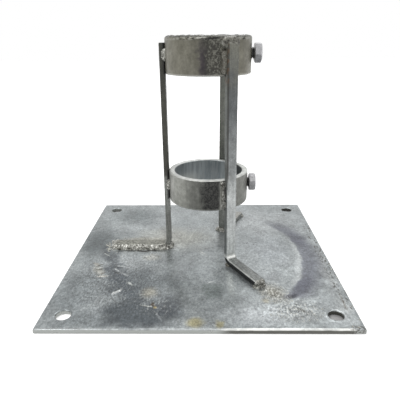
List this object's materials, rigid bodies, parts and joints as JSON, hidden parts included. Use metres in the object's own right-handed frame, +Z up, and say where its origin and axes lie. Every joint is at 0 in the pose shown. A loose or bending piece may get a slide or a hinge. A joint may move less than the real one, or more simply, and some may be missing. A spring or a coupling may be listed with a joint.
{
  "type": "roof bracket",
  "caption": "Roof mast bracket: square base plate with corner fixing holes, welded flat-bar legs, and stacked pipe rings with side clamp bolts that hold an upright mast.",
  "frame": {"origin": "centre of the base plate's underside", "axes": "+Z up, parallel to the mast; +X towards the clamp bolts; -Y towards the front leg"},
  "size_m": [0.25, 0.25, 0.209],
  "materials": {
    "galvanised_plate": "hot-dip galvanised sheet, satin, patchy grey with faint spangle, drip marks and stains",
    "galvanised_bar": "hot-dip galvanised flat bar, satin to matt",
    "galvanised_pipe": "hot-dip galvanised cut pipe, satin, warm grey, mottled",
    "galvanised_weld": "rippled weld bead under zinc",
    "zinc_plated_bolt": "zinc-plated, satin"
  },
  "bodies": {
    "bracket": {"base_plate": "galvanised_plate", "left_leg": "galvanised_bar", "front_leg": "galvanised_bar", "back_leg": "galvanised_bar", "upper_ring": "galvanised_pipe", "lower_ring": "galvanised_pipe", "left_upper_weld": "galvanised_weld", "left_lower_weld": "galvanised_weld", "front_upper_weld": "galvanised_weld", "front_lower_weld": "galvanised_weld", "back_upper_weld": "galvanised_weld", "back_lower_weld": "galvanised_weld", "front_top_weld": "galvanised_weld", "left_toe_weld": "galvanised_weld", "front_toe_weld": "galvanised_weld", "back_toe_weld": "galvanised_weld", "left_heel_weld": "galvanised_weld", "front_heel_weld": "galvanised_weld", "back_heel_weld": "galvanised_weld", "left_side_weld": "galvanised_weld", "left_long_weld": "galvanised_weld"},
    "upper_shank": {"upper_bolt_shank": "zinc_plated_bolt"},
    "upper_head": {"upper_bolt_head": "zinc_plated_bolt"},
    "lower_shank": {"lower_bolt_shank": "zinc_plated_bolt"},
    "lower_head": {"lower_bolt_head": "zinc_plated_bolt"}
  },
  "joints": [
    {"name": "upper_bolt_travel", "type": "slide", "parent": "bracket", "child": "upper_shank", "axis": [1, 0, 0], "range_m": [-0.0022, 0.003]},
    {"name": "upper_bolt_turn", "type": "hinge", "parent": "upper_shank", "child": "upper_head", "pos_m": [0.05, 0.01, 0.194], "axis": [1, 0, 0], "range_deg": [-528, 720]},
    {"name": "lower_bolt_travel", "type": "slide", "parent": "bracket", "child": "lower_shank", "axis": [1, 0, 0], "range_m": [-0.0012, 0.004]},
    {"name": "lower_bolt_turn", "type": "hinge", "parent": "lower_shank", "child": "lower_head", "pos_m": [0.05, 0.01, 0.0745], "axis": [1, 0, 0], "range_deg": [-288, 960]}
  ],
  "couplings": [
    {"joint": "upper_bolt_travel", "follows": "upper_bolt_turn", "m_per_rad": 0.00023873},
    {"joint": "lower_bolt_travel", "follows": "lower_bolt_turn", "m_per_rad": 0.00023873}
  ]
}
